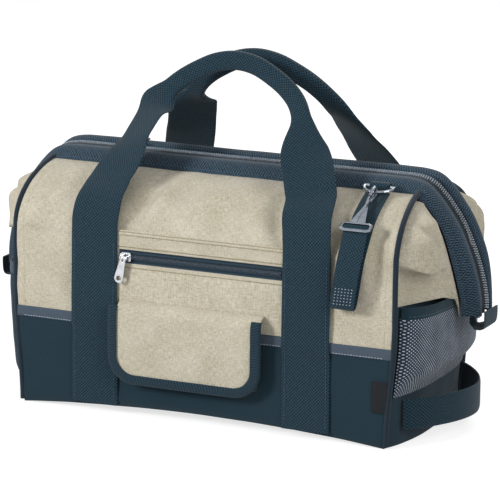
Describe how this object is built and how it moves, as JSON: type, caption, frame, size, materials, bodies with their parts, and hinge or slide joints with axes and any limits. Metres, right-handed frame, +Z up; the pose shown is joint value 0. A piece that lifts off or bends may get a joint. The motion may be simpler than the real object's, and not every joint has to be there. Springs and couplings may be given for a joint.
{
  "type": "tool bag",
  "caption": "Gate mouth canvas tool bag with a coil zip over both ends, webbing handles, front zip and flap pockets, end pockets, a hook strap and a grab loop",
  "frame": {"origin": "on the ground under the middle of the base", "axes": "+X along the bag towards the mesh pocket end, +Z up, -Y towards the front with the zip pocket and the flap"},
  "size_m": [0.527, 0.2197, 0.357],
  "materials": {
    "canvas_beige": "woven canvas",
    "boot_navy": "coated fabric",
    "band_slate": "woven tape",
    "band_navy": "twill",
    "webbing_navy": "woven webbing",
    "pocket_mesh": "open mesh over lining",
    "zip_black": "woven tape and coil",
    "label_black": "woven label",
    "board": "matte",
    "frame_steel": "plated",
    "dark_metal": "gunmetal",
    "nickel": "nickel plated"
  },
  "bodies": {
    "shell": {"base_board": "board", "bottom_panel": "boot_navy", "front_boot_panel": "boot_navy", "rear_boot_panel": "boot_navy", "front_canvas_panel": "canvas_beige", "rear_canvas_panel": "canvas_beige", "front_seam_band": "band_slate", "rear_seam_band": "band_slate", "right_end_panel": "boot_navy", "left_end_panel": "boot_navy", "mesh_pocket": "pocket_mesh", "mesh_pocket_binding": "band_slate", "left_end_pocket": "boot_navy", "left_pocket_binding": "band_slate", "front_left_strap": "webbing_navy", "front_right_strap": "webbing_navy", "rear_left_strap": "webbing_navy", "rear_right_strap": "webbing_navy", "front_upper_panel": "canvas_beige", "rear_upper_panel": "canvas_beige", "front_left_piping": "webbing_navy", "front_right_piping": "webbing_navy", "rear_left_piping": "webbing_navy", "rear_right_piping": "webbing_navy", "right_hinge_pin": "frame_steel", "left_hinge_pin": "frame_steel", "right_tail_tab": "webbing_navy", "left_tail_tab": "webbing_navy", "right_gusset": "canvas_beige", "left_gusset": "canvas_beige", "front_left_riser": "webbing_navy", "front_right_riser": "webbing_navy", "rear_left_riser": "webbing_navy", "rear_right_riser": "webbing_navy", "zip_pocket_panel": "canvas_beige", "pocket_zip_tape": "zip_black", "front_patch_pocket": "boot_navy", "label_tab": "label_black", "grab_loop": "webbing_navy"},
    "mouth_front": {"front_frame": "frame_steel", "front_mouth_band": "band_navy", "main_zip_front": "zip_black", "ring_tab": "webbing_navy"},
    "mouth_rear": {"rear_frame": "frame_steel", "rear_mouth_band": "band_navy", "main_zip_rear": "zip_black"},
    "slider_left": {"main_slider_left": "dark_metal"},
    "pull_left": {"main_pull_left": "dark_metal"},
    "slider_right": {"main_slider_right": "dark_metal"},
    "pull_right": {"main_pull_right": "dark_metal"},
    "slider_pocket": {"pocket_slider": "nickel"},
    "pull_pocket": {"pocket_pull": "nickel"},
    "handle_front": {"front_handle": "webbing_navy"},
    "handle_rear": {"rear_handle": "webbing_navy"},
    "flap": {"pocket_flap": "canvas_beige", "flap_binding": "webbing_navy"},
    "tool_ring": {"d_ring": "nickel"},
    "tool_strap": {"snap_hook": "nickel", "tool_webbing": "webbing_navy"},
    "gate": {"hook_gate": "nickel"}
  },
  "joints": [
    {"name": "mouth_front_hinge", "type": "hinge", "parent": "shell", "child": "mouth_front", "pos_m": [0, 0, 0.1185], "axis": [1, 0, 0], "range_deg": [0, 40], "deforming": ["front_upper_panel", "front_left_piping", "front_right_piping", "front_left_riser", "front_right_riser", "right_gusset", "left_gusset", "right_tail_tab", "left_tail_tab"]},
    {"name": "mouth_rear_hinge", "type": "hinge", "parent": "shell", "child": "mouth_rear", "pos_m": [0, 0, 0.1185], "axis": [-1, 0, 0], "range_deg": [0, 40], "deforming": ["rear_upper_panel", "rear_left_piping", "rear_right_piping", "rear_left_riser", "rear_right_riser"]},
    {"name": "left_slider_slide", "type": "slide", "parent": "mouth_front", "child": "slider_left", "axis": [-1, 0, 0], "range_m": [0, 0.043]},
    {"name": "right_slider_slide", "type": "slide", "parent": "mouth_front", "child": "slider_right", "axis": [1, 0, 0], "range_m": [0, 0.295]},
    {"name": "left_pull_hinge", "type": "hinge", "parent": "slider_left", "child": "pull_left", "pos_m": [-0.133, 0, 0.25282], "axis": [1, 0, 0], "range_deg": [0, 100]},
    {"name": "right_pull_hinge", "type": "hinge", "parent": "slider_right", "child": "pull_right", "pos_m": [-0.119, 0, 0.25279], "axis": [1, 0, 0], "range_deg": [0, 100]},
    {"name": "pocket_slider_slide", "type": "slide", "parent": "shell", "child": "slider_pocket", "axis": [1, 0, 0], "range_m": [0, 0.155]},
    {"name": "pocket_pull_hinge", "type": "hinge", "parent": "slider_pocket", "child": "pull_pocket", "pos_m": [-0.079, -0.1075, 0.161], "axis": [-1, 0, 0], "range_deg": [0, 150]},
    {"name": "front_handle_fold", "type": "hinge", "parent": "mouth_front", "child": "handle_front", "pos_m": [0, -0.076, 0.24], "axis": [1, 0, 0], "range_deg": [0, 150]},
    {"name": "rear_handle_fold", "type": "hinge", "parent": "mouth_rear", "child": "handle_rear", "pos_m": [0, 0.076, 0.24], "axis": [-1, 0, 0], "range_deg": [0, 150]},
    {"name": "flap_lift", "type": "hinge", "parent": "shell", "child": "flap", "pos_m": [0, -0.1041, 0.118], "axis": [1, 0, 0], "range_deg": [-105, 0]},
    {"name": "ring_hang", "type": "hinge", "parent": "mouth_front", "child": "tool_ring", "pos_m": [0.162, -0.0418, 0.243], "axis": [1, 0, 0], "range_deg": [-40, 0]},
    {"name": "tool_strap_swing", "type": "hinge", "parent": "tool_ring", "child": "tool_strap", "pos_m": [0.162, -0.057, 0.24], "axis": [-1, 0, 0], "range_deg": [0, 60]},
    {"name": "hook_gate_hinge", "type": "hinge", "parent": "tool_strap", "child": "gate", "pos_m": [0.162, -0.07705, 0.23174], "axis": [-1, 0, 0], "range_deg": [0, 14], "stiffness_Nm_per_rad": 0.004}
  ],
  "couplings": [
    {"joint": "ring_hang", "follows": "mouth_front_hinge", "ratio": -1}
  ]
}
